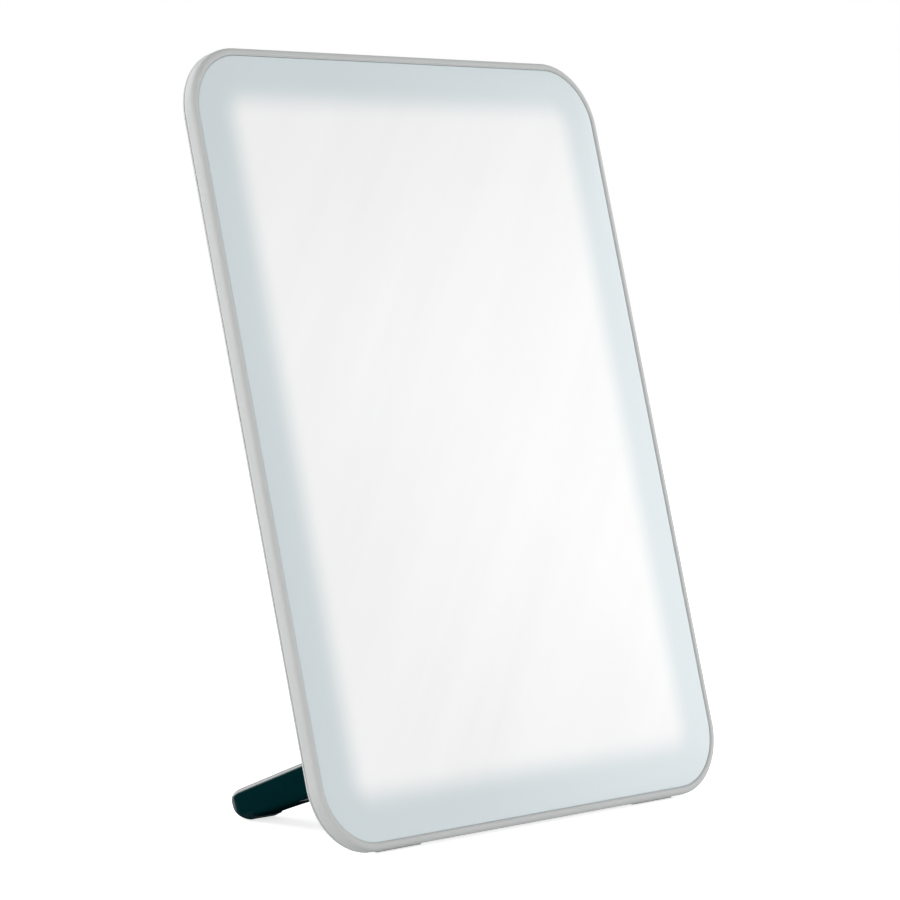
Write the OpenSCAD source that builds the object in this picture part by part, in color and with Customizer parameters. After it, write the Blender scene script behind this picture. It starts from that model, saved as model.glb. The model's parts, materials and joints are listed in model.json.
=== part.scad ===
// Slim light therapy lamp: an edge-lit panel that leans back on a fold-out leg.
// Frame: X is the panel's width, Y runs from its front to the back, Z is up.
// The origin is on the table, under the middle of the lamp's outline.
// Panel pieces are drawn flat and then stood up: X across, Y up the panel, and a
// depth behind the front face that runs along -Z.

/* [Panel] */
// Width of the panel
panel_w = 212; // [200:1:230]
// Height of the panel along its face
panel_h = 285; // [270:1:310]
// Radius of the panel's four corners
corner_r = 25; // [22:0.5:30]
// Lean of the panel back from upright, in degrees
lean = 14.7; // [10:0.1:18]

/* [Front frame] */
// Width of the rim beside the diffuser
rim_w = 2.4; // [2:0.1:3]
// Rounding of the rim's front edge
rim_round = 1.4; // [0.8:0.1:1.8]
// Width of the ledge that the diffuser is bonded to
ledge_w = 3.3; // [2.6:0.1:3.8]
// Thickness of that ledge
ledge_t = 1; // [0.8:0.1:1.2]
// Depth of the seam between the front frame and the back cover
seam = 0.2; // [0.15:0.05:0.4]
// Height of the frame's tongue inside the back cover
tongue_h = 1.5; // [1:0.1:2]

/* [Diffuser and light engine] */
// Thickness of the opal diffuser
diffuser_t = 3; // [2.5:0.1:3.5]
// Groove between the rim and the diffuser
diffuser_gap = 0.35; // [0.3:0.05:0.5]
// How far the diffuser is set behind the rim
diffuser_set = 0.2; // [0.1:0.05:0.4]
// Rounding of the diffuser's front edge
diffuser_round = 1.2; // [0.8:0.1:1.5]
// Thickness of the bonding tape under the diffuser's edge
tape_t = 0.3; // [0.2:0.05:0.4]
// Distance from the panel's edge to the light guide's edge
light_inset = 17; // [16.5:0.1:18]
// Thickness of the light guide
guide_t = 3; // [2.5:0.1:3.5]
// Thickness of the diffuser film and of the reflector sheet
sheet_t = 0.25; // [0.2:0.05:0.4]
// Gap between the layers of the light engine
layer_gap = 0.1; // [0.05:0.05:0.2]
// Sheet thickness of the aluminium tray
tray_t = 1; // [0.8:0.1:1.2]
// Thickness of each LED strip's board
strip_t = 0.8; // [0.6:0.1:1]
// Height of an LED above its board
led_rise = 0.7; // [0.5:0.1:0.8]
// Length of an LED along the strip
led_l = 2.8; // [2:0.1:3.5]
// Spacing of the LEDs along the strip
led_pitch = 9; // [7:0.5:12]

/* [Back cover] */
// Height of the cover's own part of the flat side wall
cover_edge = 0.6; // [0.5:0.1:1]
// Depth of the back's flat middle behind the front face
back_d = 13; // [12.6:0.1:14]
// Width of the sloping border round the back
bevel_w = 9; // [8.5:0.1:10]
// Blend radius where the slope meets the flat middle
bevel_round = 6; // [4:0.5:8]
// Wall thickness of the back cover
cover_wall = 2; // [1.6:0.1:2.2]
// Thickness of the leg bay's floor
bay_wall = 1.6; // [1.4:0.1:1.8]
// Corner radius of the leg bay
bay_r = 6; // [4:0.5:10]
// Distance of the cover screws from the panel's edge
screw_inset = 9.5; // [9.2:0.1:9.8]

/* [Driver housing] */
// Room in the housing beside each end of the driver board
pod_side = 15; // [13:0.5:18]
// Height of the housing
pod_h = 66; // [62:1:70]
// Height of the housing's middle above the panel's bottom edge
pod_up = 198; // [190:1:205]
// How far the housing stands out from the back
pod_rise = 9.4; // [9.3:0.1:10]
// Corner radius of the housing
pod_r = 14; // [12:0.5:16]
// Rounding of the housing's back edge
pod_round = 3; // [2:0.5:4]
// Wall thickness of the housing
pod_wall = 2; // [1.8:0.1:2.2]
// Distance of the housing's screws from its sides
pod_screw_inset = 8.5; // [8:0.1:9.5]
// Number of vent slots on each side
vent_count = 5; // [3:1:6]
// Width of a vent slot
vent_w = 1.6; // [1.2:0.1:2]
// Length of a vent slot
vent_l = 24; // [18:1:28]
// Spacing of the vent slots
vent_pitch = 4.5; // [4:0.1:5]
// Thickness of the driver board
board_t = 1.6; // [1.2:0.1:1.8]
// Width of the driver board
board_w = 94; // [88:1:98]
// Height of the driver board
board_h = 44; // [42:1:46]

/* [Button and socket] */
// Radius of the power button
button_r = 7; // [6:0.1:7.5]
// Height of the button's middle above the housing's middle
button_up = 8; // [6:0.5:10]
// How far the button stands out when released
button_rise = 1.2; // [1:0.1:1.6]
// Travel of the button
button_travel = 0.8; // [0.5:0.1:0.9]
// Radius of the bore that takes the plug's barrel
socket_r = 2.9; // [2.8:0.05:3]
// Depth of that bore
socket_depth = 9.5; // [8.5:0.5:10]
// Radius of the socket's centre pin
socket_pin_r = 1; // [0.8:0.05:1.2]
// Distance of the socket from the lamp's middle
socket_x = 32; // [26:0.5:34]

/* [Leg] */
// Width of the leg
leg_w = 133; // [120:1:144]
// Distance from the hinge axis to the middle of the feet's rounded ends
leg_len = 64.8; // [60:0.1:70]
// Radius of the leg's barrel round the hinge axis
barrel_r = 7.2; // [6.8:0.1:7.4]
// Radius of each foot's rounded end
nose_r = 5.9; // [5.4:0.1:6.2]
// Width of each of the leg's two feet
foot_w = 15; // [13:0.5:18]
// Corner radius of each foot, seen from above
foot_corner_r = 4; // [3:0.5:6]
// Distance from the hinge axis to the arch between the feet
arch_from = 40; // [36:0.5:44]
// Corner radius of that arch
arch_r = 8; // [5:0.5:12]
// Height of the hinge axis along the panel
hinge_up = 32.4; // [31:0.1:34]
// Wall thickness of the leg's moulded shell
leg_wall = 2.4; // [2:0.1:2.8]
// Thickness of the plate that closes the leg's underside
plate_t = 1.6; // [1.2:0.1:2]
// How far the underside lies behind the soles
plate_set = 0.5; // [0.4:0.1:0.8]
// Length of each rubber sole along the underside
sole_len = 11; // [9:0.5:16]
// Thickness of each rubber sole
sole_t = 2.4; // [2:0.1:2.8]
// Depth of the flat that each sole stands on
sole_flat = 0.3; // [0.2:0.05:0.4]

/* [Hinge] */
// Radius of each hinge pin
pin_r = 2.4; // [2.2:0.1:2.5]
// Outer radius of each bush in the leg
bush_r = 3.4; // [3.2:0.1:3.5]
// Length of each bush
bush_l = 10; // [8:0.5:12]
// Width of each hinge bracket
bracket_w = 8; // [7:0.5:9]
// Radius of the bracket's head round the pin
bracket_r = 6.4; // [6.2:0.1:6.8]
// Length of the bracket's foot along the panel
bracket_l = 25; // [24:0.5:26]
// Thickness of the bracket's foot
bracket_t = 2.2; // [1.8:0.1:2.6]
// Gap between the leg's end and the bracket
end_gap = 1; // [0.8:0.1:1.2]
// Thickness of the friction washer in that gap
washer_t = 0.6; // [0.4:0.05:0.7]
// Radius of the stop peg on each bracket
stop_r = 0.8; // [0.7:0.05:0.85]
// Distance of the stop peg from the hinge axis
stop_at = 5.3; // [5.2:0.05:5.4]

/* [Fits and screws] */
// Radial clearance of a running fit
running = 0.03; // [0.02:0.01:0.05]
// Radial clearance of a press or glued fit
seated = 0.02; // [0.01:0.01:0.04]
// Clearance between pieces that move past each other
moving_gap = 0.3; // [0.25:0.05:0.4]
// Clearance between the folded leg and the bay's floor
fold_gap = 0.6; // [0.4:0.1:0.8]
// Radius of every screw's shank
screw_r = 1.25; // [1.1:0.05:1.3]
// Radius of every screw's head
head_r = 2.2; // [2:0.05:2.3]
// Height of every screw's head
head_h = 1.5; // [1.2:0.1:1.6]

/* [Rubber pads] */
// How far the pads stand out under the panel's bottom edge
pad_proud = 0.3; // [0.2:0.05:0.5]
// Width of each pad
pad_w = 22; // [16:1:26]
// Distance between the middles of the pads
pad_spacing = 136; // [120:1:146]
// Size of each pad from front to back
pad_l = 2.6; // [2:0.1:3]
// How deep each pad is set into the cover's edge
pad_in = 2; // [1.5:0.1:2.2]

/* [Hidden] */
$fn = 64;

frame_grey = [0.83, 0.84, 0.83];
cover_grey = [0.86, 0.87, 0.87];
teal = [0.03, 0.16, 0.17];
steel = [0.72, 0.73, 0.75];

// Depths behind the front face, from the front to the back.
diffuser_back = diffuser_set + diffuser_t;
frame_d = diffuser_back + tape_t + ledge_t;
cover_d0 = frame_d + seam;
side_d = cover_d0 + cover_edge;
film_d = diffuser_back + layer_gap;
guide_d = film_d + sheet_t + layer_gap;
reflector_d = guide_d + guide_t + layer_gap;
tray_d = reflector_d + sheet_t + layer_gap;
tray_back = tray_d + tray_t;
cover_inner = back_d - cover_wall;
tray_room = 0.3; // between the tray and the bay's floor
bay_floor = tray_back + tray_room + bay_wall;
pod_back = back_d + pod_rise;
pod_inner = pod_back - pod_wall;
pod_w = board_w + 2 * pod_side;
hinge_d = bay_floor + fold_gap + barrel_r;

// The panel stands with its back bottom edge just above the table.
seat_z = side_d * sin(lean) + pad_proud;
hinge_y0 = hinge_up * sin(lean) + hinge_d * cos(lean);
hinge_z = seat_z + hinge_up * cos(lean) - hinge_d * sin(lean);
slope = asin((hinge_z - nose_r + sole_flat) / leg_len);
taper = asin((barrel_r - nose_r) / leg_len);
fold_angle = 90 + slope - lean + taper - 0.5;

// The origin is under the middle of the outline from the rim's front to the rearmost point.
front_y = rim_round * (sin(lean) + cos(lean)) - rim_round;
foot_y = hinge_y0 + leg_len * cos(slope) + nose_r;
pod_top_y = (pod_up + pod_h / 2) * sin(lean) + pod_back * cos(lean);
top_y = panel_h * sin(lean) + side_d * cos(lean);
origin_y = (front_y + max(foot_y, pod_top_y, top_y)) / 2;

// Insets from the panel's edge.
guide_inset = light_inset;
led_gap = 0.3; // between the LEDs and the guide's edge
led_inset = guide_inset - led_gap;
strip_inset = led_inset - led_rise;
flange_inset = strip_inset - strip_t;
tray_inset = flange_inset - tray_t;
sheet_inset = guide_inset + 0.3; // the sheets stop just inside the guide's edge
lead_r = 0.6;
lead_gap = 0.15; // between a lead and the guide's top edge
lead_up = panel_h - guide_inset + lead_r + lead_gap;
strip_end = 15; // from the panel's top and bottom edges to the strip's ends
engine_r = 3;
fill = corner_r - 2; // width of the swept border of a solid plate
boss_r = 3;
column_r = 3.6;
frame_boss_d = side_d + 1.7;
cover_screw_seat = frame_boss_d + 1.6; // the floor of the screws' counterbores
post_r = 2.7;
tray_screw_inset = 19.5;
tray_screw_up = 40;
tray_screw_r = 1;
tray_head_r = 1.9;
hole_gap = 0.05;
lead_across = panel_w / 2 - tray_screw_inset - post_r - 4; // clear of the tray's posts

leg_half = leg_w / 2;
bracket_x = leg_half + end_gap;
bay_half = bracket_x + bracket_w + 2;
bay_bottom = hinge_up - bracket_l / 2 - 2.5; // the brackets' corners clear the bay's
bay_top = hinge_up + leg_len + nose_r + 4;
bush_in = leg_half - bush_l;
peg_angle = 180 + fold_angle / 2; // the stop peg's direction in the leg's own frame
slot_spare = 3; // degrees of slot past each limit
slot_depth = 4;
peg_reach = 3; // how far the peg goes into its slot
sole_from = leg_len + nose_r - sole_len;
plate_from = barrel_r + 4;
plate_gap = 0.1;
leg_screw_in = 16; // from the leg's end
leg_screw_l = 5;
arch_half = leg_half - foot_w;
pocket_to = arch_from - leg_wall; // the end of the pocket for the plate
recess = 0.8; // depth of the plate's and bracket's recesses for screw heads

// The socket's nose passes through the housing's wall just behind the back cover, and the
// socket's body stands on the board.
nose_wall = 0.6;
socket_nose_r = socket_r + nose_wall;
socket_w = 9;
socket_h = 6.6;
socket_l = 13;
nose_set = 0.2; // the nose's end behind the housing's bottom face
socket_axis_d = back_d + socket_nose_r + 0.25;
socket_y = pod_up - pod_h / 2; // the housing's bottom face
board_back = socket_axis_d - socket_h / 2;
board_d = board_back - board_t;
pod_post_x = pod_w / 2 - pod_screw_inset;
pod_post_y = pod_h / 2 - pod_screw_inset;
pod_post_r = 3.4;
opening_lip = 0.6;
opening_w = 2 * (pod_post_x - pod_post_r - 1.2);
opening_h = pod_h - 2 * (pod_wall + opening_lip);
button_y = pod_up + button_up;
board_post_x = board_w / 2 - 4;
board_post_y = board_h / 2 - 4;
switch_w = 6.2;
switch_h = 3.6;
plunger_r = 1.7;
plunger_in = 0.8;
cap_flange_t = 1.2;
stem_d = board_back + switch_h + button_travel + moving_gap;
lens_x = 17;
lens_r = 1.3;
pod_screw_sink = 1.2; // depth of the housing screws' heads below its back
vent_x = 27;

// ---- placing ----

// Stands a flat-drawn panel piece on its edge, leans it back and sets it on the table.
module in_panel() {
    translate([0, -origin_y, seat_z]) rotate([90 - lean, 0, 0]) children();
}

// The hinge axis, with the leg's own frame turned down to the table.
module at_hinge(turn) {
    translate([0, hinge_y0 - origin_y, hinge_z]) rotate([turn, 0, 0]) children();
}

// A slice from depth d0 to depth d1 of a flat outline.
module slice(d0, d1) {
    translate([0, 0, -d1]) linear_extrude(d1 - d0) children();
}

// ---- shapes ----

module rounded_rect(w, h, r) {
    square([w - 2 * r, h], center = true);
    square([w, h - 2 * r], center = true);
    for (x = [-1, 1], y = [-1, 1])
        translate([x * (w / 2 - r), y * (h / 2 - r)]) circle(r);
}

// The panel's outline, drawn in by an inset.
module panel_outline(inset, r) {
    translate([0, panel_h / 2]) rounded_rect(panel_w - 2 * inset, panel_h - 2 * inset, r);
}

// Carries an edge profile round a rounded rectangle. The profile's first coordinate
// runs inwards from the edge and its second runs back from the front.
module sweep(w, h, r) {
    for (i = [0 : 3]) {
        side = (i % 2 == 0 ? h : w) / 2 - r;
        out = (i % 2 == 0 ? w : h) / 2 - r;
        rotate(90 * i) translate([out, side, 0]) {
            rotate([90, 0, 0]) linear_extrude(2 * side) translate([r, 0]) rotate(180) children();
            rotate_extrude(angle = 90) translate([r, 0]) rotate(180) children();
        }
    }
}

module panel_sweep() {
    translate([0, panel_h / 2, 0]) sweep(panel_w, panel_h, corner_r) children();
}

// An edge profile from depth d0 to d1 whose outer front corner is rounded.
module front_round(w, d0, d1, r) {
    translate([r, d0]) square([w - r, d1 - d0]);
    translate([0, d0 + r]) square([w, d1 - d0 - r]);
    intersection() {
        translate([r, d0 + r]) circle(r);
        translate([0, d0]) square(r);
    }
}

// The same with the outer back corner rounded.
module back_round(w, d0, d1, r) {
    translate([r, d0]) square([w - r, d1 - d0]);
    translate([0, d0]) square([w, d1 - d0 - r]);
    intersection() {
        translate([r, d1 - r]) circle(r);
        translate([0, d1 - r]) square(r);
    }
}

function unit(v) = v / norm(v);

// The back cover's edge profile: a flat side, a slope, and a blend to the flat middle.
module slope_profile(side_u, d0, side, top_u, top, r) {
    v = [top_u, top];
    down = unit([side_u, side] - v);
    along = [1, 0];
    half = acos(down * along) / 2;
    t1 = v + down * r / tan(half);
    t2 = v + along * r / tan(half);
    c = v + unit(down + along) * r / sin(half);
    edge = side > d0 ? [[side_u, d0]] : [];
    polygon(concat(edge, [[side_u, side], t1, t2, [fill, top], [fill, d0]]));
    intersection() {
        polygon([c, t1, v, t2]);
        translate(c) circle(r);
    }
}

// A round tube carried along a list of points, cut square at both ends.
module tube(points, r, sides) {
    n = len(points);
    rings = [for (i = [0 : n - 1])
        let (
            ahead = unit(points[min(i + 1, n - 1)] - points[i == n - 1 ? i - 1 : i]),
            behind = unit(points[i == 0 ? 1 : i] - points[max(i - 1, 0)]),
            dir = unit(ahead + behind),
            side = unit(cross(dir, abs(dir.z) < 0.9 ? [0, 0, 1] : [0, 1, 0])),
            up = cross(side, dir)
        )
        for (k = [0 : sides - 1])
            let (a = 360 * k / sides) points[i] + r * (cos(a) * side + sin(a) * up)];
    caps = [[for (k = [0 : sides - 1]) k], [for (k = [sides - 1 : -1 : 0]) (n - 1) * sides + k]];
    walls = [for (i = [0 : n - 2], k = [0 : sides - 1])
        let (a = i * sides + k, b = i * sides + (k + 1) % sides)
        each [[a, a + sides, b], [b, a + sides, b + sides]]];
    polyhedron(points = rings, faces = concat(caps, walls));
}

// A pan-head screw on the depth axis: its head's top is at depth d, and it points forward.
module screw(d, shank, r = screw_r) {
    translate([0, 0, -d]) {
        difference() {
            cylinder(h = head_h, r = head_r);
            cylinder(h = head_h, r = head_r * 0.45, $fn = 6, center = true);
        }
        translate([0, 0, head_h]) cylinder(h = shank, r = r);
    }
}

// ---- places that repeat ----

module at_cover_screws() {
    for (x = [-1, 1], y = [0.25, 0.75])
        translate([x * (panel_w / 2 - screw_inset), panel_h * y, 0]) children();
    for (y = [screw_inset, panel_h - screw_inset]) translate([0, y, 0]) children();
}

module at_tray_screws() {
    for (x = [-1, 1], y = [tray_screw_up, panel_h - tray_screw_up])
        translate([x * (panel_w / 2 - tray_screw_inset), y, 0]) children();
}

module at_pod_posts() {
    for (x = [-1, 1], y = [-1, 1])
        translate([x * pod_post_x, pod_up + y * pod_post_y, 0]) children();
}

module at_board_posts() {
    for (x = [-1, 1], y = [-1, 1])
        translate([x * board_post_x, pod_up + y * board_post_y, 0]) children();
}

module at_bracket_screws() {
    end = bracket_l / 2 - head_r - 0.6; // from the hinge to a screw near the foot's end
    for (x = [-1, 1], y = [-1, 1])
        translate([x * (bracket_x + bracket_w / 2), hinge_up + y * end, 0]) children();
}

// On the leg's underside, pointing into the leg.
module at_leg_screws() {
    ends = [plate_from + head_r + 3, pocket_to - head_r - 3];
    rotate([taper, 0, 0]) for (x = [-1, 1], y = ends)
        translate([x * (leg_half - leg_screw_in), y, plate_set - barrel_r]) children();
}

// ---- front frame and light engine ----

module front_frame() {
    web_inset = screw_inset - boss_r + 0.5;
    tongue_w = 1.2;
    tongue_in = hollow_inset(frame_d + tongue_h) + moving_gap;
    color(frame_grey) in_panel() difference() {
        union() {
            panel_sweep() {
                front_round(rim_w, 0, frame_d, rim_round);
                translate([rim_w - 0.2, frame_d - ledge_t]) square([ledge_w + 0.2, ledge_t]);
                translate([tongue_in, frame_d - 0.2]) square([tongue_w, tongue_h + 0.2]);
            }
            at_cover_screws() {
                slice(frame_d - ledge_t, frame_boss_d) circle(boss_r);
            }
            // Webs that join the bosses to the ledge.
            for (x = [-1, 1], y = [0.25, 0.75])
                translate([x * (panel_w / 2 - web_inset), panel_h * y, 0])
                    slice(frame_d - ledge_t, frame_d) square(2 * boss_r, center = true);
            for (y = [web_inset, panel_h - web_inset])
                translate([0, y, 0])
                    slice(frame_d - ledge_t, frame_d) square(2 * boss_r, center = true);
        }
        at_cover_screws() slice(frame_d - 0.2, frame_boss_d + 1) circle(screw_r + hole_gap);
    }
}

module diffuser() {
    inset = rim_w + diffuser_gap;
    border = fill - inset - 2;
    color([0.93, 0.95, 0.95]) in_panel() translate([0, panel_h / 2, 0]) {
        sweep(panel_w - 2 * inset, panel_h - 2 * inset, corner_r - inset)
            front_round(border, diffuser_set, diffuser_back, diffuser_round);
        slice(diffuser_set, diffuser_back)
            rounded_rect(panel_w - 2 * (fill - 3), panel_h - 2 * (fill - 3), corner_r - fill + 3);
    }
}

module diffuser_tape() {
    color([0.95, 0.95, 0.93]) in_panel() difference() {
        slice(diffuser_back, diffuser_back + tape_t) panel_outline(rim_w + 0.6, corner_r - rim_w - 0.6);
        slice(diffuser_back - 1, diffuser_back + tape_t + 1)
            panel_outline(rim_w + ledge_w - 0.4, corner_r - rim_w - ledge_w + 0.4);
    }
}

module diffuser_film() {
    color([0.97, 0.97, 0.97]) in_panel()
        slice(film_d, film_d + sheet_t) panel_outline(sheet_inset, engine_r);
}

module light_guide() {
    color([0.9, 0.97, 1]) in_panel()
        slice(guide_d, guide_d + guide_t) panel_outline(guide_inset, engine_r);
}

module reflector_sheet() {
    color([0.98, 0.98, 0.98]) in_panel()
        slice(reflector_d, reflector_d + sheet_t) panel_outline(sheet_inset, engine_r);
}

// A folded tray with a flange on each long side for the LED strips.
module heat_tray() {
    notch_low = lead_up - 2 * lead_r;
    color([0.78, 0.79, 0.81]) in_panel() difference() {
        union() {
            slice(tray_d, tray_back) panel_outline(tray_inset, engine_r);
            for (x = [-1, 1])
                translate([x * (panel_w / 2 - tray_inset - tray_t / 2), panel_h / 2, 0])
                    slice(guide_d, tray_back) square([tray_t, panel_h - 2 * strip_end], center = true);
        }
        at_tray_screws() {
            slice(tray_d - 1, tray_back + 1) circle(tray_screw_r + hole_gap);
            translate([0, 0, -tray_back]) cylinder(h = tray_t, r1 = tray_screw_r, r2 = tray_head_r);
        }
        // Notches that pass the LED leads.
        for (x = [-1, 1])
            translate([x * lead_across - 2.5 * lead_r, notch_low, 0])
                slice(tray_d - 1, tray_back + 1) square([5 * lead_r, tray_inset]);
    }
}

module tray_screws() {
    color(steel) in_panel() at_tray_screws() {
        translate([0, 0, -tray_back + 0.05])
            cylinder(h = tray_t - 0.05, r1 = tray_screw_r - 0.05, r2 = tray_head_r - 0.05);
        slice(tray_back - 0.1, cover_inner - 0.3) circle(tray_screw_r);
    }
}

module led_strip(side) {
    color([0.92, 0.92, 0.9]) in_panel()
        translate([side * (panel_w / 2 - strip_inset + strip_t / 2), panel_h / 2, 0])
            slice(guide_d, reflector_d + sheet_t)
                square([strip_t, panel_h - 2 * strip_end], center = true);
}

module leds(side) {
    count = floor((panel_h - 2 * guide_inset - led_l) / led_pitch);
    middle = guide_d + guide_t / 2;
    led_w = 1.2;
    x = side * (panel_w / 2 - led_inset + led_rise / 2);
    color([1, 0.93, 0.55]) in_panel()
        for (i = [0 : count])
            translate([x, panel_h / 2 + (i - count / 2) * led_pitch, 0])
                slice(middle - led_w / 2, middle + led_w / 2) square([led_rise, led_l], center = true);
}

// From the driver board, between the tray and the cover, to the end of the LED strip.
module led_lead(side) {
    low = tray_back + lead_r + 0.4;
    high = board_back + 1.4;
    plug_x = board_w / 2 - 1;
    gap_x = (board_w + opening_w) / 4;
    strip_x = panel_w / 2 - strip_inset;
    end_d = guide_d + guide_t / 2;
    lead_bend = 2;
    route = [
        [plug_x, pod_up, high], [plug_x + 1, pod_up, high],
        [gap_x - 0.3, pod_up, high - 0.3], [gap_x, pod_up, high - 1],
        [gap_x, pod_up, low + 1.4], [gap_x + 0.3, pod_up, low + 0.5], [gap_x + 1.4, pod_up, low],
        [gap_x + 4 * lead_bend, pod_up, low],
        [lead_across - 5 * lead_bend, pod_up + 6 * lead_bend, low],
        [lead_across - lead_bend, pod_up + 11 * lead_bend, low],
        [lead_across, pod_up + 15 * lead_bend, low],
        [lead_across, lead_up - 2, low], [lead_across, lead_up - 0.4, low - 0.3],
        [lead_across, lead_up, low - 1.2], [lead_across, lead_up, end_d + 1.4],
        [lead_across + 0.4, lead_up, end_d + 0.4], [lead_across + 1.4, lead_up, end_d],
        [strip_x, lead_up, end_d]
    ];
    color([0.85, 0.2, 0.15]) in_panel()
        tube([for (p = route) [side * p.x, p.y, -p.z]], lead_r, 8);
}

// ---- back cover ----

module bay_outline(grow) {
    translate([0, (bay_bottom + bay_top) / 2])
        rounded_rect(2 * (bay_half + grow), bay_top - bay_bottom + 2 * grow, bay_r + grow);
}

module cover_outer() {
    panel_sweep() slope_profile(0, cover_d0, side_d, bevel_w, back_d, bevel_round);
    slice(cover_d0, back_d) panel_outline(fill - 1, corner_r - fill + 1);
}

// How far in from the panel's edge the cover's hollow starts, at a depth: its side is
// parallel to the slope outside.
function hollow_inset(depth) =
    let (rise = back_d - side_d)
    (cover_wall * norm([bevel_w, rise]) + bevel_w * (depth - side_d)) / rise;

module cover_hollow() {
    start = cover_d0 - 1;
    panel_sweep() slope_profile(
        hollow_inset(start), start, start, hollow_inset(cover_inner), cover_inner,
        bevel_round - cover_wall);
    slice(start, cover_inner) panel_outline(fill - 1, corner_r - fill + 1);
}

module back_cover() {
    color(cover_grey) difference() {
        in_panel() difference() {
            cover_outer();
            difference() {
                cover_hollow();
                at_cover_screws() slice(frame_boss_d + 0.1, back_d) circle(column_r);
                at_tray_screws() slice(tray_back, back_d) circle(post_r);
                at_pod_posts() slice(tray_back + tray_room, back_d) circle(pod_post_r);
                slice(bay_floor - bay_wall, back_d) bay_outline(bay_wall);
            }
            at_cover_screws() {
                slice(frame_boss_d - 1, back_d + 1) circle(screw_r + hole_gap);
                slice(cover_screw_seat, back_d + 1) circle(head_r + moving_gap);
            }
            at_tray_screws() slice(tray_back - 1, cover_inner) circle(tray_screw_r + hole_gap);
            at_pod_posts() slice(tray_back - 1, back_d + 1) circle(screw_r + hole_gap);
            at_bracket_screws() slice(tray_back - 1, back_d + 1) circle(screw_r + hole_gap);
            slice(bay_floor, back_d + 1) bay_outline(0);
            translate([0, pod_up, 0])
                slice(cover_d0, back_d + 1) rounded_rect(opening_w, opening_h, 6);
        }
        pad_blocks();
    }
}

module cover_screws() {
    color(steel) in_panel() at_cover_screws()
        screw(cover_screw_seat + head_h, cover_screw_seat - frame_d - 0.2);
}

// The two rubber pads under the panel's back edge, cut level at the table. The back
// cover has pockets of the same form.
module pad_blocks() {
    front = cover_d0 + 0.2;
    intersection() {
        in_panel() for (x = [-1, 1])
            translate([x * pad_spacing / 2 - pad_w / 2, -pad_in, 0])
                slice(front, front + pad_l) square([pad_w, 2 * pad_in]);
        translate([-panel_w, -panel_h, 0]) cube([2 * panel_w, 2 * panel_h, panel_h]);
    }
}

module panel_pads() {
    color([0.80, 0.81, 0.80]) pad_blocks();
}

// ---- driver housing ----

module driver_cover() {
    color(cover_grey) in_panel() difference() {
        translate([0, pod_up, 0]) {
            sweep(pod_w, pod_h, pod_r) back_round(pod_r - 1, back_d, pod_back, pod_round);
            slice(back_d, pod_back) rounded_rect(pod_w - 2 * pod_r + 4, pod_h - 2 * pod_r + 4, 2);
        }
        // The hollow, less the posts for the housing's and the board's screws.
        difference() {
            translate([0, pod_up, 0]) slice(back_d - 1, pod_inner)
                rounded_rect(pod_w - 2 * pod_wall, pod_h - 2 * pod_wall, pod_r - pod_wall);
            at_pod_posts() slice(back_d - 1, pod_back) circle(pod_post_r);
            at_board_posts() slice(board_back, pod_back) circle(post_r);
        }
        at_pod_posts() {
            slice(back_d - 1, pod_back + 1) circle(screw_r + hole_gap);
            slice(pod_back - head_h - pod_screw_sink, pod_back + 1) circle(head_r + moving_gap);
        }
        at_board_posts() slice(back_d - 2, pod_inner - 1) circle(screw_r + hole_gap);
        translate([0, button_y, 0]) slice(pod_inner - 1, pod_back + 1) circle(button_r + moving_gap);
        translate([lens_x, button_y, 0]) slice(pod_inner - 1, pod_back + 1) circle(lens_r);
        vents();
        translate([socket_x, socket_y - 1, -socket_axis_d]) rotate([-90, 0, 0])
            cylinder(h = pod_wall + 2, r = socket_nose_r + 0.1);
    }
}

module vents() {
    for (side = [-1, 1], i = [0 : vent_count - 1])
        translate([side * (vent_x + i * vent_pitch), pod_up + button_up - 4, 0])
            slice(pod_inner - 1, pod_back + 1) {
                square([vent_w, vent_l - vent_w], center = true);
                for (y = [-1, 1]) translate([0, y * (vent_l - vent_w) / 2]) circle(vent_w / 2);
            }
}

module driver_cover_screws() {
    color(steel) in_panel() at_pod_posts()
        screw(pod_back - pod_screw_sink, pod_back - pod_screw_sink - head_h - tray_back - 2 * tray_room);
}

module driver_board() {
    color([0.12, 0.42, 0.24]) in_panel() difference() {
        translate([0, pod_up, 0]) slice(board_d, board_back) square([board_w, board_h], center = true);
        at_board_posts() slice(board_d - 1, board_back + 1) circle(screw_r + hole_gap);
    }
}

// These point back, from the board's front into the housing's posts.
module board_screws() {
    low_head = 0.6;
    color(steel) in_panel() at_board_posts()
        translate([0, 0, -board_d]) rotate([180, 0, 0]) {
            translate([0, 0, -low_head]) cylinder(h = low_head, r = head_r);
            cylinder(h = board_t + 4, r = screw_r);
        }
}

// Driver chip, choke, two capacitors and the connectors of the LED leads.
module board_components() {
    chip_w = 8;
    chip_l = 7;
    chip_h = 1.4;
    choke_r = 5;
    choke_h = 5;
    capacitor_r = 3;
    capacitor_h = 6;
    plug_w = 6;
    plug_l = 9;
    plug_h = 2.8;
    driver_x = -board_w / 4;
    low_y = choke_r - board_h / 2 + 3;
    color([0.2, 0.2, 0.22]) in_panel() translate([0, pod_up, 0]) {
        translate([driver_x, low_y + choke_r + chip_l, 0])
            slice(board_back, board_back + chip_h) square([chip_w, chip_l], center = true);
        translate([driver_x, low_y, 0]) slice(board_back, board_back + choke_h) circle(choke_r);
        for (i = [0, 1])
            translate([driver_x + choke_r + 8 + i * (2 * capacitor_r + 1), low_y, 0])
                slice(board_back, board_back + capacitor_h) circle(capacitor_r);
        for (x = [-1, 1])
            translate([x * (board_w - plug_w - 2) / 2, 0, 0])
                slice(board_back, board_back + plug_h) square([plug_w, plug_l], center = true);
    }
}

// ---- button ----

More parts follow.
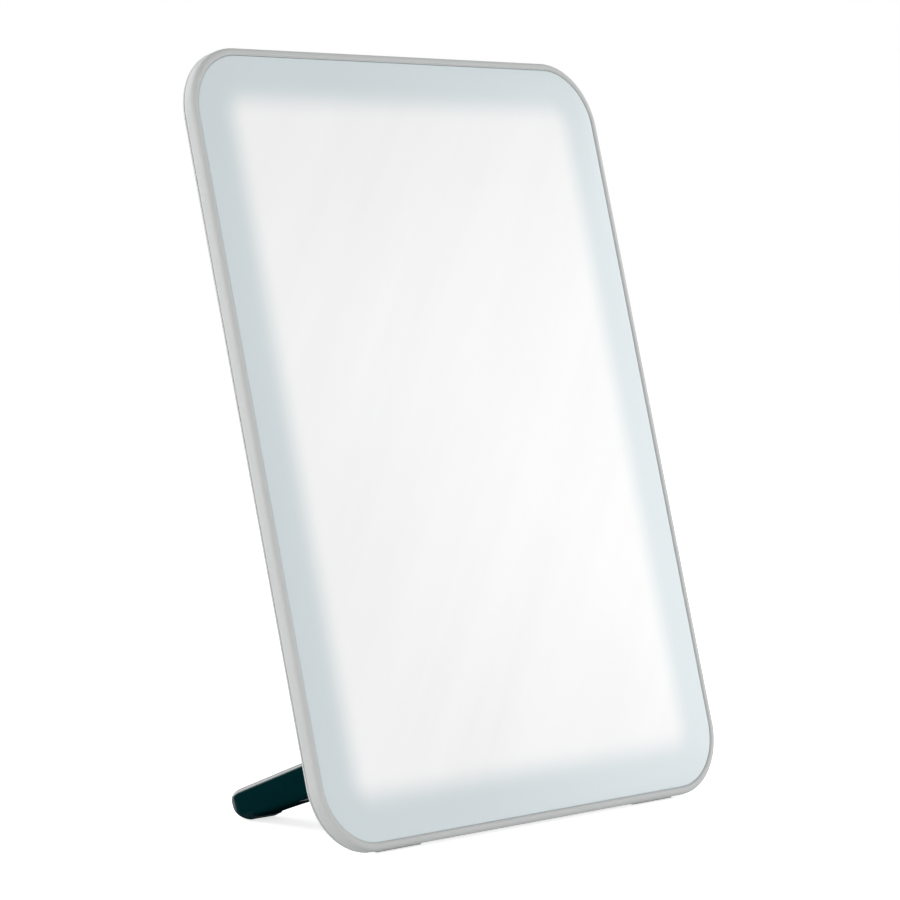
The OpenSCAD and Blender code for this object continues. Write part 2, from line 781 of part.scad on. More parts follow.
module tact_switch() {
    color([0.15, 0.15, 0.16]) in_panel() translate([0, button_y, 0]) difference() {
        slice(board_back, board_back + switch_h) square(switch_w, center = true);
        slice(board_back + switch_h - plunger_in - button_travel - 0.3, board_back + switch_h + 1)
            circle(plunger_r + moving_gap);
    }
}

module switch_plunger() {
    color([0.1, 0.1, 0.1]) in_panel() translate([0, button_y, 0])
        slice(board_back + switch_h - plunger_in, stem_d) circle(plunger_r);
}

// A cap with a stem that stands on the switch and a skirt that keeps it in the housing.
module power_button() {
    skirt_back = pod_inner - moving_gap;
    stem_r = 2.4;
    skirt_w = 1.3;
    bevel = 0.6;
    color(frame_grey) in_panel() translate([0, button_y, 0]) {
        slice(stem_d, skirt_back - cap_flange_t + 0.2) circle(stem_r);
        slice(skirt_back - cap_flange_t, skirt_back) circle(button_r + skirt_w);
        slice(skirt_back - 0.2, pod_back + button_rise - bevel) circle(button_r);
        translate([0, 0, -pod_back - button_rise])
            cylinder(h = bevel + 0.01, r1 = button_r - bevel, r2 = button_r);
    }
}

module button_ring() {
    ring_t = 0.5;
    ring_w = 1.6;
    color(steel) in_panel() translate([0, button_y, 0]) difference() {
        slice(pod_back, pod_back + ring_t) circle(button_r + moving_gap + ring_w);
        slice(pod_back - 1, pod_back + 2) circle(button_r + moving_gap);
    }
}

module indicator_lens() {
    color([0.75, 0.95, 0.8]) in_panel() translate([lens_x, button_y, 0])
        slice(board_back, pod_back + 0.1) circle(lens_r - hole_gap);
}

// ---- socket ----

module dc_socket() {
    inner = socket_y + pod_wall + opening_lip + 0.1;
    color([0.08, 0.08, 0.09]) in_panel() difference() {
        union() {
            translate([socket_x, inner + socket_l / 2, 0])
                slice(board_back, board_back + socket_h) square([socket_w, socket_l], center = true);
            translate([socket_x, socket_y + nose_set, -socket_axis_d]) rotate([-90, 0, 0])
                cylinder(h = inner - socket_y + 1, r = socket_nose_r);
        }
        translate([socket_x, socket_y - 1, -socket_axis_d]) rotate([-90, 0, 0])
            cylinder(h = 1 + nose_set + socket_depth, r = socket_r);
    }
}

module socket_pin() {
    length = socket_depth - 1.5; // its tip is 1.5 behind the bore's mouth
    root = socket_y + nose_set + socket_depth;
    color(steel) in_panel()
        translate([socket_x, root - length, -socket_axis_d]) rotate([-90, 0, 0])
            cylinder(h = length, r = socket_pin_r);
}

// ---- hinge ----

module hinge_bracket(side) {
    mid = side * (bracket_x + bracket_w / 2);
    color(steel) {
        in_panel() difference() {
            union() {
                translate([mid, hinge_up, 0]) slice(bay_floor, bay_floor + bracket_t)
                    square([bracket_w, bracket_l], center = true);
                translate([mid, hinge_up, 0]) slice(bay_floor, hinge_d)
                    square([bracket_w, 2 * bracket_r], center = true);
                translate([mid - bracket_w / 2, hinge_up, -hinge_d]) rotate([0, 90, 0])
                    cylinder(h = bracket_w, r = bracket_r);
            }
            translate([mid - bracket_w, hinge_up, -hinge_d]) rotate([0, 90, 0])
                cylinder(h = 2 * bracket_w, r = pin_r + seated);
            at_bracket_screws() {
                slice(bay_floor - 1, hinge_d) circle(screw_r + hole_gap);
                slice(bay_floor + bracket_t - recess, hinge_d + barrel_r) circle(head_r + 0.1);
            }
        }
        stop_peg(side);
    }
}

// A peg that runs in the leg's curved slot and stops it at both ends.
module stop_peg(side) {
    length = end_gap + peg_reach;
    x = side > 0 ? bracket_x - length : -bracket_x - 0.5;
    at_hinge(peg_angle - slope) translate([x, stop_at, 0]) rotate([0, 90, 0])
        cylinder(h = length + 0.5, r = stop_r);
}

module bracket_screws() {
    color(steel) in_panel() at_bracket_screws()
        screw(bay_floor + bracket_t - recess + head_h, bay_wall + bracket_t - recess + tray_room - 0.1);
}

module hinge_pin(side) {
    length = bracket_w + end_gap + bush_l;
    x = side > 0 ? bush_in : -bush_in - length;
    color(steel) at_hinge(0) translate([x, 0, 0]) rotate([0, 90, 0]) cylinder(h = length, r = pin_r);
}

module friction_washers() {
    middle = leg_half + end_gap / 2;
    color([0.8, 0.66, 0.35]) at_hinge(0) for (side = [-1, 1])
        translate([side * middle - washer_t / 2, 0, 0]) rotate([0, 90, 0]) difference() {
            cylinder(h = washer_t, r = stop_at - stop_r - 0.3);
            translate([0, 0, -1]) cylinder(h = washer_t + 2, r = pin_r + 0.1);
        }
}

// ---- leg ----

// Extrudes a side view across the leg.
module across(half) {
    translate([-half, 0, 0]) rotate([90, 0, 90]) linear_extrude(2 * half) children();
}

// The leg's full form in its own frame: the barrel at the axis, tapering to the feet.
// Its straight faces lie a hair inside the tangents, so that they cut both round ends.
module leg_body() {
    hair = 0.03;
    s = sin(taper);
    c = cos(taper);
    intersection() {
        union() {
            across(leg_half) circle(barrel_r);
            across(leg_half) translate([leg_len, 0]) circle(nose_r);
            across(leg_half) polygon([
                [(barrel_r - hair) * s, (barrel_r - hair) * c],
                [leg_len + (nose_r - hair) * s, (nose_r - hair) * c],
                [leg_len + (nose_r - hair) * s, -(nose_r - hair) * c],
                [(barrel_r - hair) * s, -(barrel_r - hair) * c]
            ]);
        }
        leg_column();
    }
}

// A slab along the leg's underside, from height t0 to t1 above it and from x0 to x1 along it.
module under_slab(x0, x1, t0, t1) {
    rotate(taper) translate([x0, t0 - barrel_r]) square([x1 - x0, t1 - t0]);
}

// The leg as seen from above, as a tall column: a wide web with an arch between two rounded feet.
module leg_column() {
    far = leg_len + nose_r;
    r = foot_corner_r;
    tall = 4 * barrel_r;
    translate([0, 0, -tall / 2]) difference() {
        union() {
            translate([-leg_half, -2 * barrel_r, 0]) cube([leg_w, 2 * barrel_r + far - r, tall]);
            translate([r - leg_half, 0, 0]) cube([leg_w - 2 * r, far, tall]);
            for (x = [-1, 1]) translate([x * (leg_half - r), far - r, 0]) cylinder(h = tall, r = r);
        }
        translate([0, 0, -1]) arch(far, tall + 2);
    }
}

// The opening between the feet, with round corners at the web and round inner corners at the feet.
module arch(far, tall) {
    r = foot_corner_r;
    translate([-arch_half, arch_from + arch_r, 0]) cube([2 * arch_half, far, tall]);
    translate([arch_r - arch_half, arch_from, 0]) cube([2 * (arch_half - arch_r), far, tall]);
    for (x = [-1, 1]) {
        translate([x * (arch_half - arch_r), arch_from + arch_r, 0]) cylinder(h = tall, r = arch_r);
        difference() {
            translate([x > 0 ? arch_half - 1 : -arch_half - r, far - r, 0]) cube([r + 1, r + 1, tall]);
            translate([x * (arch_half + r), far - r, -1]) cylinder(h = tall + 2, r = r);
        }
    }
}

module leg_shell() {
    pocket = leg_half - leg_wall;
    color(teal) at_hinge(-slope) difference() {
        leg_body();
        // Room for the soles, the set-back underside, the plate and the hollow above it.
        across(leg_half + 1) under_slab(sole_from, leg_len + 2 * nose_r, -1, sole_t);
        across(leg_half + 1) under_slab(barrel_r, sole_from + 1, -1, plate_set);
        across(pocket) under_slab(plate_from, pocket_to, -1, plate_set + plate_t);
        difference() {
            across(pocket - leg_wall) intersection() {
                under_slab(plate_from + leg_wall, pocket_to - leg_wall, -1, 2 * barrel_r);
                rotate(-taper) translate([0, -2 * barrel_r - leg_wall]) square([leg_len, 3 * barrel_r]);
            }
            at_leg_screws() cylinder(h = 2 * barrel_r, r = post_r);
        }
        at_leg_screws() cylinder(h = recess + leg_screw_l + 0.5, r = screw_r + hole_gap);
        for (side = [-1, 1]) {
            translate([side * (leg_half - bush_l / 2 + 0.5), 0, 0]) rotate([0, 90, 0])
                cylinder(h = bush_l + 1, r = bush_r + seated, center = true);
            stop_slot(side);
        }
    }
}

// The curved slot for the stop peg in each end of the barrel.
module stop_slot(side) {
    w = stop_r + moving_gap;
    from = peg_angle - fold_angle - slot_spare;
    to = peg_angle + slot_spare;
    translate([side > 0 ? leg_half - slot_depth : -leg_half - 1, 0, 0]) rotate([90, 0, 90]) {
        rotate(from) rotate_extrude(angle = to - from)
            translate([stop_at - w, 0]) square([2 * w, slot_depth + 1]);
        for (a = [from, to])
            rotate(a) translate([stop_at, 0, 0]) cylinder(h = slot_depth + 1, r = w);
    }
}

module leg_bushes() {
    color([0.93, 0.92, 0.88]) at_hinge(-slope) for (side = [-1, 1])
        translate([side * (leg_half - bush_l / 2), 0, 0]) rotate([0, 90, 0]) difference() {
            cylinder(h = bush_l, r = bush_r, center = true);
            cylinder(h = bush_l + 2, r = pin_r + running, center = true);
        }
}

module leg_plate() {
    color([0.02, 0.1, 0.11]) at_hinge(-slope) difference() {
        across(leg_half - leg_wall - plate_gap) under_slab(
            plate_from + plate_gap, pocket_to - plate_gap, plate_set, plate_set + plate_t);
        at_leg_screws() {
            translate([0, 0, -1]) cylinder(h = plate_t + 2, r = screw_r + hole_gap);
            translate([0, 0, -1]) cylinder(h = recess + 1, r = head_r + hole_gap);
        }
    }
}

module leg_plate_screws() {
    color(steel) at_hinge(-slope) at_leg_screws() {
        cylinder(h = recess, r = head_r);
        translate([0, 0, recess - 0.1]) cylinder(h = leg_screw_l + 0.1, r = screw_r);
    }
}

module foot_sole() {
    color([0.05, 0.13, 0.14]) difference() {
        at_hinge(-slope) intersection() {
            leg_body();
            across(leg_half + 1) under_slab(sole_from, leg_len + 2 * nose_r, -1, sole_t);
        }
        translate([-panel_w, -panel_h, -panel_h]) cube([2 * panel_w, 2 * panel_h, panel_h]);
    }
}

front_frame();
diffuser();
diffuser_tape();
diffuser_film();
light_guide();
reflector_sheet();
heat_tray();
tray_screws();
led_strip(-1);  // led_strip_left
led_strip(1);  // led_strip_right
leds(-1);  // leds_left
leds(1);  // leds_right
led_lead(-1);  // led_lead_left
led_lead(1);  // led_lead_right
back_cover();
cover_screws();
panel_pads();
driver_cover();
driver_cover_screws();
driver_board();
board_screws();
board_components();
tact_switch();
switch_plunger();
power_button();
button_ring();
indicator_lens();
dc_socket();
socket_pin();
hinge_bracket(-1);  // hinge_bracket_left
hinge_bracket(1);  // hinge_bracket_right
bracket_screws();
hinge_pin(-1);  // hinge_pin_left
hinge_pin(1);  // hinge_pin_right
friction_washers();
leg_shell();
leg_bushes();
leg_plate();
leg_plate_screws();
foot_sole();
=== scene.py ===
"""A slim light therapy lamp: an edge-lit opal panel that leans back on a fold-out leg with two feet.

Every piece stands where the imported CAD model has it, in metres: X runs across the panel, Y from
its front to its back, and Z is up. Sizes are in millimetres until they become a mesh.
"""

import json
from math import asin, atan2, cos, pi, radians, sin, tau

import bpy
import numpy as np
from mathutils import Matrix


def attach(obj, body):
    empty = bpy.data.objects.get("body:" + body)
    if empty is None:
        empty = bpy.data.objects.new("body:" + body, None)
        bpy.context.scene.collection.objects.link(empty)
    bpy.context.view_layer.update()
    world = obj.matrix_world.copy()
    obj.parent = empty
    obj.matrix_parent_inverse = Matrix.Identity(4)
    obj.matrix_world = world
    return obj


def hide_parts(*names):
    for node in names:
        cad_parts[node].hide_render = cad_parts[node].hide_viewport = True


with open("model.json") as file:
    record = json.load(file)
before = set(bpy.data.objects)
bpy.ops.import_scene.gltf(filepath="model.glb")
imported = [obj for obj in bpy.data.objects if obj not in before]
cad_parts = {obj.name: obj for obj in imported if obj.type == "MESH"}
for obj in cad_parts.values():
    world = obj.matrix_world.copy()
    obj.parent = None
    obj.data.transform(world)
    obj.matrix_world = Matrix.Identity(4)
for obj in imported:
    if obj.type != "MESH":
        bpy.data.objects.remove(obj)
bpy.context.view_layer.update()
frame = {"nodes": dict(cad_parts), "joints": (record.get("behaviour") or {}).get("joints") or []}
nodes = frame["nodes"]

# ---- Front frame ----
# The rim and side wall that the opal plate sits in, moulded in one piece of satin pale grey ABS. It
# has a rounded front edge, a fine groove beside the plate, and a tongue that fits in the back cover.

MM = 0.001
SAME_POINT = 2e-6  # points of a mesh nearer than this, in metres, become one
SHARP_EDGE = radians(40)
LEAN = radians(14.7)
PANEL_W = 212.0
PANEL_H = 285.0
CORNER_R = 25.0
EDGE_HEIGHT = 1.645  # the panel's front bottom edge: how high it stands, and its Y
EDGE_Y = -46.140
FRAME_D = 4.5  # depth of the side wall, as far as the back cover
RIM_W = 2.4
RIM_ROUND = 1.4
GROOVE_D = 0.22
PLATE_INSET = 2.75  # from the panel's outline to the opal plate
PLATE_GAP = 0.02
LEDGE_INSET = 5.7  # the ledge behind the plate: how far in it reaches, and its depth
LEDGE_D = 3.5
TONGUE_INSET = 4.2
TONGUE_T = 1.2
TONGUE_LONG = 1.5
CORNER_STEPS = 28  # points on each corner of the panel
ARC_STEPS = 6  # points on each rounded corner of a profile
FRAME_GREY = (0.54, 0.555, 0.55)


def on_panel(across, up, depth):
    """Panel coordinates to the frame. The face leans back about its bottom edge: Y is the edge's
    plus up sin(lean) plus depth cos(lean), and Z is its height plus up cos(lean) minus depth sin(lean)."""
    across, up, depth = np.broadcast_arrays(across, up, depth)
    return np.stack([
        across,
        EDGE_Y + up * sin(LEAN) + depth * cos(LEAN),
        EDGE_HEIGHT + up * cos(LEAN) - depth * sin(LEAN)], axis=-1)


def ring_of_edge(profile):
    """A profile of insets and depths carried round the panel's outline, a rounded rectangle. At an
    angle a on a corner, a point lies at the corner's centre plus (radius - inset) (cos a, sin a),
    and straight sides join the corners."""
    turn = (np.arange(4)[:, None] * pi / 2 + np.linspace(0, pi / 2, CORNER_STEPS)).reshape(-1, 1)
    side = np.repeat([(1, 1), (-1, 1), (-1, -1), (1, -1)], CORNER_STEPS, axis=0)
    centre_x = side[:, :1] * (PANEL_W / 2 - CORNER_R)
    centre_up = PANEL_H / 2 + side[:, 1:] * (PANEL_H / 2 - CORNER_R)
    reach = CORNER_R - profile[:, 0]
    return on_panel(centre_x + reach * np.cos(turn), centre_up + reach * np.sin(turn), profile[:, 1])


def rounded_profile(corners):
    """A closed polyline whose corners, each given as (x, y, radius), are arcs. An arc touches both of
    its sides at radius / tan(half the corner's angle) from the corner."""
    corners = np.asarray(corners, float)
    points = []
    for i, (*here, radius) in enumerate(corners):
        before, after = corners[i - 1, :2], corners[(i + 1) % len(corners), :2]
        if radius == 0:
            points.append([here])
            continue
        to_a = (before - here) / np.linalg.norm(before - here)
        to_b = (after - here) / np.linalg.norm(after - here)
        half = np.arccos(np.clip(to_a @ to_b, -1, 1)) / 2
        middle = here + (to_a + to_b) / np.linalg.norm(to_a + to_b) * radius / sin(half)
        start = here + to_a * radius / np.tan(half)
        end = here + to_b * radius / np.tan(half)
        first = atan2(*(start - middle)[::-1])
        sweep = (atan2(*(end - middle)[::-1]) - first + pi) % tau - pi
        turn = first + sweep * np.linspace(0, 1, ARC_STEPS)
        points.append(middle + radius * np.stack([np.cos(turn), np.sin(turn)], axis=-1))
    return np.concatenate(points)


def grid_faces(rows, columns, close_rows=False, close_columns=False):
    """Quads between neighbours of a grid whose points are numbered row by row."""
    r = np.arange(rows if close_rows else rows - 1)[:, None]
    c = np.arange(columns if close_columns else columns - 1)[None, :]
    r2, c2 = (r + 1) % rows, (c + 1) % columns
    quads = [r * columns + c, r2 * columns + c, r2 * columns + c2, r * columns + c2]
    return np.stack(quads, axis=-1).reshape(-1, 4)


def new_piece(name, points, faces, material, body="panel"):
    """A mesh object at the origin from points in millimetres, with its normals made to face out."""
    mesh = bpy.data.meshes.new(name)
    mesh.from_pydata((np.asarray(points).reshape(-1, 3) * MM).tolist(), [],
                     [list(map(int, face)) for face in faces])
    piece = bpy.data.objects.new(name, mesh)
    bpy.context.scene.collection.objects.link(piece)
    bpy.context.view_layer.objects.active = piece
    bpy.ops.object.select_all(action="DESELECT")
    piece.select_set(True)
    bpy.ops.object.mode_set(mode="EDIT")
    bpy.ops.mesh.select_all(action="SELECT")
    bpy.ops.mesh.remove_doubles(threshold=SAME_POINT)
    bpy.ops.mesh.normals_make_consistent(inside=False)
    bpy.ops.object.mode_set(mode="OBJECT")
    mesh.shade_smooth()
    mesh.set_sharp_from_angle(angle=SHARP_EDGE)
    mesh.materials.append(material)
    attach(piece, body)
    return piece


def node_tools(tree, end):
    """Two functions for a node tree. add makes a node and fills its inputs, which are given by name,
    or by number as i0 and i1. link joins an output to an input of the tree's end node."""

    def add(kind, settings=None, **inputs):
        node = tree.nodes.new(kind)
        for key, value in (settings or {}).items():
            setattr(node, key, value)
        for key, value in inputs.items():
            numbered = key[0] == "i" and key[1:].isdigit()
            socket = node.inputs[int(key[1:]) if numbered else key.replace("_", " ")]
            if isinstance(value, bpy.types.NodeSocket):
                tree.links.new(value, socket)
            else:
                socket.default_value = value
        return node

    def link(output, key):
        tree.links.new(output, end.inputs[key])

    return add, link


def new_material(name):
    """A new node material, with its Principled shader and its node tools."""
    material = bpy.data.materials.new(name)
    material.use_nodes = True
    shader = material.node_tree.nodes["Principled BSDF"]
    return material, shader, *node_tools(material.node_tree, shader)


def scaled(add, colour, factor):
    """A colour times a factor."""
    return add("ShaderNodeVectorMath", {"operation": "SCALE"}, i0=colour, Scale=factor).outputs[0]


def moulded(name, colour, roughness, grain=0.45, bump=0.5, tone=0.025, coat=0.0, specular=0.5):
    """Moulded or sprayed surface: a fine spark-eroded grain as bump and roughness, and a slow
    drift of tone, all from noise on object coordinates. grain is the grain's size in millimetres."""
    material, shader, add, link = new_material(name)
    place = add("ShaderNodeTexCoord").outputs["Object"]
    slow = add("ShaderNodeTexNoise", Vector=place, Scale=14.0, Detail=3.0)
    fine = add("ShaderNodeTexNoise", Vector=place, Scale=0.5 / (grain * MM), Detail=2.0, Roughness=0.6)
    dark = [c * (1 - tone) for c in colour]
    light = [min(1.0, c * (1 + tone)) for c in colour]
    drift = add("ShaderNodeMix", {"data_type": "RGBA"}, i0=slow.outputs["Fac"],
                i6=(*dark, 1), i7=(*light, 1))
    speck = add("ShaderNodeMapRange", Value=fine.outputs["Fac"], From_Min=0.3, From_Max=0.7,
                To_Min=1 - tone / 2, To_Max=1 + tone / 2)
    link(scaled(add, drift.outputs[2], speck.outputs[0]), "Base Color")
    rough = add("ShaderNodeMapRange", Value=fine.outputs["Fac"], From_Min=0.25, From_Max=0.75,
                To_Min=max(0.02, roughness - 0.05), To_Max=min(1, roughness + 0.05))
    link(rough.outputs[0], "Roughness")
    raised = add("ShaderNodeBump", Height=fine.outputs["Fac"], Strength=bump, Distance=0.03 * MM)
    link(raised.outputs[0], "Normal")
    shader.inputs["Specular IOR Level"].default_value = specular
    shader.inputs["Coat Weight"].default_value = coat
    return material


frame_plastic = moulded("frame_grey_abs", FRAME_GREY, 0.5, specular=0.3)
pocket = PLATE_INSET - PLATE_GAP
tongue_in = TONGUE_INSET + TONGUE_T
tongue_end = FRAME_D + TONGUE_LONG
frame_profile = rounded_profile([  # inset, depth, radius
    (0, 0, RIM_ROUND),
    (RIM_W, 0, 0.25),
    (RIM_W, GROOVE_D, 0.1),
    (pocket, GROOVE_D, 0),
    (pocket, LEDGE_D, 0),
    (LEDGE_INSET, LEDGE_D, 0),
    (LEDGE_INSET, FRAME_D, 0),
    (tongue_in, FRAME_D, 0),
    (tongue_in, tongue_end, 0),
    (TONGUE_INSET, tongue_end, 0),
    (TONGUE_INSET, FRAME_D, 0),
    (0, FRAME_D, 0.15)])
ring = ring_of_edge(frame_profile)
front_rim = new_piece("front_rim", ring, grid_faces(*ring.shape[:2], True, True), frame_plastic)
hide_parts("front_frame")

# ---- Opal diffuser ----
# A 3 mm plate of satin opal acrylic with a rounded front edge, bonded on the frame's ledge. Light
# from the guide behind it starts about 18 mm in from the panel's edge and fades softly round it.

PLATE_FRONT = 0.2
PLATE_BACK = 3.2
PLATE_ROUND = 0.55
BACK_ROUND = 0.2
FLAT_INSET = 20.0  # inside this the plate's front and back are one flat face each
LIT_INSET = 18.5  # from the panel's outline to the middle of the fade
LIT_CORNER = 8.0
FADE = 17.0
# painted shade: the unlit border's bluish grey stands for the plate in shade outside the glow
SHADED_BORDER_TINT = (0.655, 0.725, 0.75)  # the unlit border's colour, and the lit area's
LIT_TINT = (0.54, 0.54, 0.54)
LIT_POWER = 0.34
# painted shade: the glow is a little weaker to the right, where the lamps light the plate more
LEFT_POWER = LIT_POWER * 1.06
RIGHT_POWER = LIT_POWER * 0.9
# painted reflection: faint slanting streaks in the glow that stand for reflections on the plate's face
PAINTED_REFLECTION_SLANT = radians(-36)
PAINTED_REFLECTION_LENGTH = 14  # in streak widths


def maths(add, operation, *values):
    """The result of a Math node on one or two values."""
    inputs = {f"i{number}": value for number, value in enumerate(values)}
    return add("ShaderNodeMath", {"operation": operation}, **inputs).outputs[0]


def lit_share(add, flat, half_width, half_height):
    """1 in the lit area and 0 in the border. For a point p on the face, with q = |p| - half + r, the
    length of max(q, 0) plus min(max(q), 0) is r on the outline of a rectangle with its corners
    rounded to r. The light fades evenly across that line."""
    over = []
    for axis, half in enumerate((half_width, half_height)):
        away = maths(add, "ABSOLUTE", flat.outputs[axis])
        over.append(maths(add, "SUBTRACT", away, half - LIT_CORNER * MM))
    clipped = [maths(add, "MAXIMUM", o, 0.0) for o in over]
    joined = add("ShaderNodeCombineXYZ", X=clipped[0], Y=clipped[1])
    outside = add("ShaderNodeVectorMath", {"operation": "LENGTH"}, i0=joined.outputs[0]).outputs["Value"]
    inside = maths(add, "MINIMUM", maths(add, "MAXIMUM", *over), 0.0)
    return add("ShaderNodeMapRange", {"interpolation_type": "SMOOTHERSTEP"},
               Value=maths(add, "ADD", outside, inside),
               From_Min=(LIT_CORNER - FADE / 2) * MM, From_Max=(LIT_CORNER + FADE / 2) * MM,
               To_Min=1.0, To_Max=0.0).outputs[0]


def opal():
    """Opal acrylic lit from behind: a pale blue border of painted shade round a neutral area that glows,
    with faint slanting streaks of painted reflection in the glow, and a little less power to the right,
    a painted shade where the lamps light the plate more."""
    material, shader, add, link = new_material("opal_acrylic")
    # object coordinates turned and moved to the middle of the panel's face
    upright = LEAN - pi / 2
    middle = Matrix.Translation(on_panel(0.0, PANEL_H / 2, 0.0) * MM)
    on_face = add("ShaderNodeMapping", Vector=add("ShaderNodeTexCoord").outputs["Object"],
                  Location=-(Matrix.Rotation(upright, 4, "X") @ middle).translation,
                  Rotation=(upright, 0, 0)).outputs[0]
    flat = add("ShaderNodeSeparateXYZ", Vector=on_face)
    half_width = (PANEL_W / 2 - LIT_INSET) * MM
    half_height = (PANEL_H / 2 - LIT_INSET) * MM
    glow = lit_share(add, flat, half_width, half_height)
    haze = add("ShaderNodeTexNoise", Vector=on_face, Scale=9.0, Detail=2.0)
    tone = add("ShaderNodeMapRange", Value=haze.outputs["Fac"], To_Min=0.96, To_Max=1.04)
    # painted shade: the border takes the shaded tint, and the glowing area the lit one
    shaded_border_and_lit_tint = add("ShaderNodeMix", {"data_type": "RGBA"}, i0=glow, i6=(*SHADED_BORDER_TINT, 1), i7=(*LIT_TINT, 1))
    link(scaled(add, shaded_border_and_lit_tint.outputs[2], tone.outputs[0]), "Base Color")
    # painted reflection: the glow is made slightly stronger and weaker along slanting streaks
    slanted = add("ShaderNodeMapping", {"vector_type": "TEXTURE"}, Vector=on_face,
                  Rotation=(0, 0, PAINTED_REFLECTION_SLANT), Scale=(1, PAINTED_REFLECTION_LENGTH, 1))
    streak = add("ShaderNodeTexNoise", Vector=slanted.outputs[0], Scale=45.0, Detail=3.0, Roughness=0.6)
    painted_reflection = add("ShaderNodeMapRange", Value=streak.outputs["Fac"], From_Min=0.3, From_Max=0.7,
                  To_Min=0.96, To_Max=1.04).outputs[0]
    # painted shade: less power to the right, against the lamps' stronger light there
    power = add("ShaderNodeMapRange", Value=flat.outputs[0], From_Min=-half_width, From_Max=half_width,
                To_Min=LEFT_POWER, To_Max=RIGHT_POWER).outputs[0]
    link(maths(add, "MULTIPLY", maths(add, "MULTIPLY", glow, painted_reflection), power), "Emission Strength")
    shader.inputs["Emission Color"].default_value = (1, 1, 1, 1)
    frost = add("ShaderNodeTexNoise", Vector=on_face, Scale=1800.0, Detail=2.0)
    raised = add("ShaderNodeBump", Height=frost.outputs["Fac"], Strength=0.25, Distance=0.01 * MM)
    link(raised.outputs[0], "Normal")
    shader.inputs["Roughness"].default_value = 0.32
    return material


plate_profile = rounded_profile([  # inset, depth, radius
    (PLATE_INSET, PLATE_FRONT, PLATE_ROUND),
    (FLAT_INSET, PLATE_FRONT, 0),
    (FLAT_INSET, PLATE_BACK, 0),
    (PLATE_INSET, PLATE_BACK, BACK_ROUND)])
# its first point is moved to the back of the flat middle, and so its last is at the front
ring = ring_of_edge(np.roll(plate_profile, -ARC_STEPS, axis=0))
stations, profile_points = ring.shape[:2]
edge_faces = grid_faces(stations, profile_points, close_rows=True)
front_face = [np.arange(stations) * profile_points + profile_points - 1]
back_face = [np.arange(stations) * profile_points + 1]
diffuser = new_piece("opal_plate", ring, [*edge_faces, *front_face, *back_face], opal())
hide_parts("diffuser")

# ---- Light engine ----
# Sealed behind the opal plate, in their CAD shape: a ring of bonding tape, a prismatic film, a clear
# guide with printed dots, a white reflector, and a folded aluminium tray, screwed to the back cover,
# with an LED strip down each long side.


def dress(material, *names):
    """Gives CAD nodes that keep their own shape a finished material."""
    for name in names:
        nodes[name].material_slots[0].material = material


def patterned(name, colour, second, roughness, texture, scale, low=0.4, high=0.6, **settings):
    """Two colours mixed by a texture on object coordinates, with the same texture as a fine bump."""
    material, shader, add, link = new_material(name)
    place = add("ShaderNodeTexCoord").outputs["Object"]
    pattern = add(texture, settings, Vector=place, Scale=scale)
    value = pattern.outputs["Distance" if "Distance" in pattern.outputs else "Fac"]
    share = add("ShaderNodeMapRange", Value=value, From_Min=low, From_Max=high).outputs[0]
    mixed = add("ShaderNodeMix", {"data_type": "RGBA"}, i0=share, i6=(*colour, 1), i7=(*second, 1))
    link(mixed.outputs[2], "Base Color")
    raised = add("ShaderNodeBump", Height=share, Strength=0.3, Distance=0.04 * MM)
    link(raised.outputs[0], "Normal")
    shader.inputs["Roughness"].default_value = roughness
    return material


def metal(name, colour, roughness, stretch=(1, 1, 1), scale=900.0):
    """Bare metal with fine drawn or turned lines: noise stretched along one direction."""
    material, shader, add, link = new_material(name)
    place = add("ShaderNodeMapping", Vector=add("ShaderNodeTexCoord").outputs["Object"], Scale=stretch)
    lines = add("ShaderNodeTexNoise", Vector=place.outputs[0], Scale=scale, Detail=3.0).outputs["Fac"]
    tone = add("ShaderNodeMapRange", Value=lines, From_Min=0.3, From_Max=0.7, To_Min=0.9, To_Max=1.06)
    link(scaled(add, colour, tone.outputs[0]), "Base Color")
    rough = add("ShaderNodeMapRange", Value=lines, From_Min=0.3, From_Max=0.7,
                To_Min=roughness * 0.8, To_Max=roughness * 1.25)
    link(rough.outputs[0], "Roughness")
    raised = add("ShaderNodeBump", Height=lines, Strength=0.3, Distance=0.01 * MM)
    link(raised.outputs[0], "Normal")
    shader.inputs["Metallic"].default_value = 1.0
    return material


dress(moulded("bonding_tape", (0.85, 0.85, 0.83), 0.7), "diffuser_tape")
dress(patterned("prismatic_film", (0.90, 0.91, 0.92), (0.80, 0.82, 0.84), 0.25,
                "ShaderNodeTexWave", 160.0, wave_type="BANDS"), "diffuser_film")
dress(patterned("dotted_guide", (0.95, 0.95, 0.95), (0.78, 0.86, 0.88), 0.08,
                "ShaderNodeTexVoronoi", 480.0, 0.3, 0.4), "light_guide")
dress(moulded("white_reflector", (0.92, 0.92, 0.92), 0.6), "reflector_sheet")
dress(metal("tray_aluminium", (0.75, 0.76, 0.78), 0.38, stretch=(1, 30, 30), scale=60.0), "heat_tray")
screw_steel = metal("plated_steel", (0.60, 0.60, 0.62), 0.30)
dress(screw_steel, "tray_screws")
dress(patterned("white_solder_mask", (0.90, 0.90, 0.88), (0.78, 0.78, 0.74), 0.45,
                "ShaderNodeTexNoise", 300.0), "led_strip_left", "led_strip_right")
dress(patterned("led_resin", (0.96, 0.84, 0.32), (0.98, 0.92, 0.62), 0.2,
                "ShaderNodeTexVoronoi", 700.0, 0.2, 0.6), "leds_left", "leds_right")
dress(moulded("red_silicone", (0.55, 0.05, 0.03), 0.5), "led_lead_left", "led_lead_right")

# ---- Back cover ----
# The moulded cover that closes the frame: a flat edge, a slope to a flat back, and the leg's bay.
# Satin ABS with a spark-eroded grain. Six screws hold it, and two rubber pads carry it.

